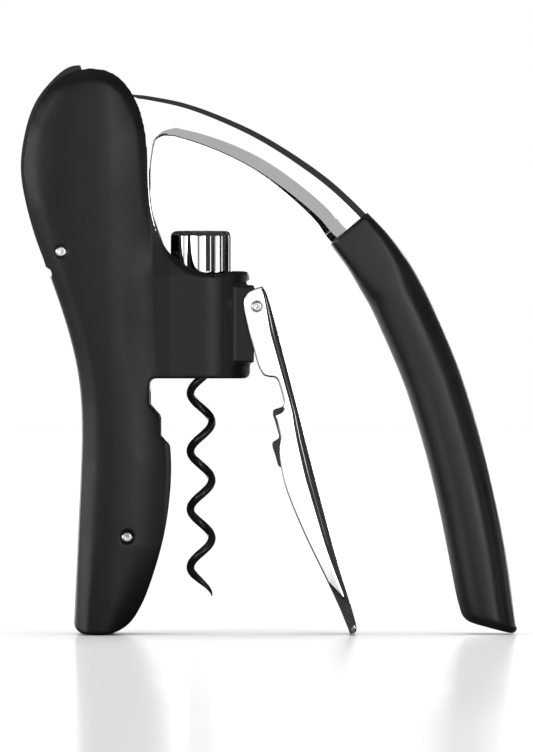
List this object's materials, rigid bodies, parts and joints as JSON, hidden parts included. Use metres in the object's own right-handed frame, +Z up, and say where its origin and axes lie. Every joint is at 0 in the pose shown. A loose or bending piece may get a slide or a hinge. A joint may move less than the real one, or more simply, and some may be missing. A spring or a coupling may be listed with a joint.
{
  "type": "lever corkscrew",
  "caption": "Upright lever corkscrew with a jawed housing, a hinged clamp handle and a long gripped lever that drives a worm through a nut.",
  "frame": {"origin": "middle of the overall box, on the surface that the corkscrew stands on", "axes": "+Z up along the worm, +X from the housing towards the lever's grip, +Y across"},
  "size_m": [0.1387, 0.03, 0.1588],
  "materials": {
    "soft_black": "soft-touch coated glass-filled nylon, near black",
    "link_black": "moulded nylon, near black, satin",
    "grip_black": "soft-touch elastomer, near black",
    "jaw_rubber": "smooth dark rubber",
    "seat_rubber": "smooth dark rubber",
    "nut_resin": "acetal, dark grey",
    "chrome": "polished chrome plate on zinc casting",
    "pin_steel": "turned bright steel",
    "spring_steel": "drawn spring wire",
    "carriage_metal": "sintered steel",
    "worm_black": "non-stick black coated steel wire"
  },
  "bodies": {
    "frame": {"body_casting": "soft_black", "body_jaw_liner": "jaw_rubber", "bottle_seat_ring": "seat_rubber", "worm_nut": "nut_resin", "nut_retainer": "pin_steel", "rear_link_pin": "pin_steel", "liner_pin": "pin_steel", "clamp_hinge_pin": "pin_steel", "clamp_washers": "pin_steel", "clamp_spring": "spring_steel"},
    "rear_link": {"rear_link": "link_black"},
    "clamp": {"clamp_handle": "chrome", "clamp_jaw_liner": "jaw_rubber", "clamp_stop_pin": "pin_steel", "clamp_rivet": "pin_steel"},
    "lever": {"lever_arm": "chrome", "lever_grip": "grip_black", "grip_rivets": "pin_steel", "lever_head_pin": "pin_steel", "head_rollers": "nut_resin"},
    "carriage": {"carriage_block": "carriage_metal", "carriage_pivot_screws": "pin_steel", "thrust_washer": "nut_resin", "knob_post": "pin_steel", "knob_screw": "chrome"},
    "knob": {"release_knob": "chrome"},
    "worm": {"worm": "worm_black", "worm_ring": "spring_steel"}
  },
  "joints": [
    {"name": "carriage_slide", "type": "slide", "parent": "frame", "child": "carriage", "axis": [0, 0, 1], "range_m": [0, 0.0601]},
    {"name": "lever_swing", "type": "hinge", "parent": "carriage", "child": "lever", "pos_m": [-0.0192, 0, 0.0965], "axis": [0, -1, 0], "range_deg": [0, 85]},
    {"name": "worm_spin", "type": "hinge", "parent": "carriage", "child": "worm", "pos_m": [-0.0192, 0, 0.09], "axis": [0, 0, 1], "range_deg": [0, 1332]},
    {"name": "release_knob_turn", "type": "hinge", "parent": "carriage", "child": "knob", "pos_m": [-0.0192, 0, 0.105], "axis": [0, 0, 1], "range_deg": [0, 90]},
    {"name": "rear_link_swing", "type": "hinge", "parent": "frame", "child": "rear_link", "pos_m": [-0.0581, 0, 0.1069], "axis": [0, -1, 0], "range_deg": [0, 41]},
    {"name": "clamp_close", "type": "hinge", "parent": "frame", "child": "clamp", "pos_m": [-0.0036, 0, 0.0916], "axis": [0, 1, 0], "range_deg": [0, 15.3], "stiffness_Nm_per_rad": 0.12, "springref_deg": -14.32}
  ],
  "couplings": [
    {"joint": "carriage_slide", "follows": "lever_swing", "m_per_rad": 0.040444},
    {"joint": "worm_spin", "follows": "lever_swing", "ratio": 15.648},
    {"joint": "rear_link_swing", "follows": "lever_swing", "ratio": 0.48}
  ]
}
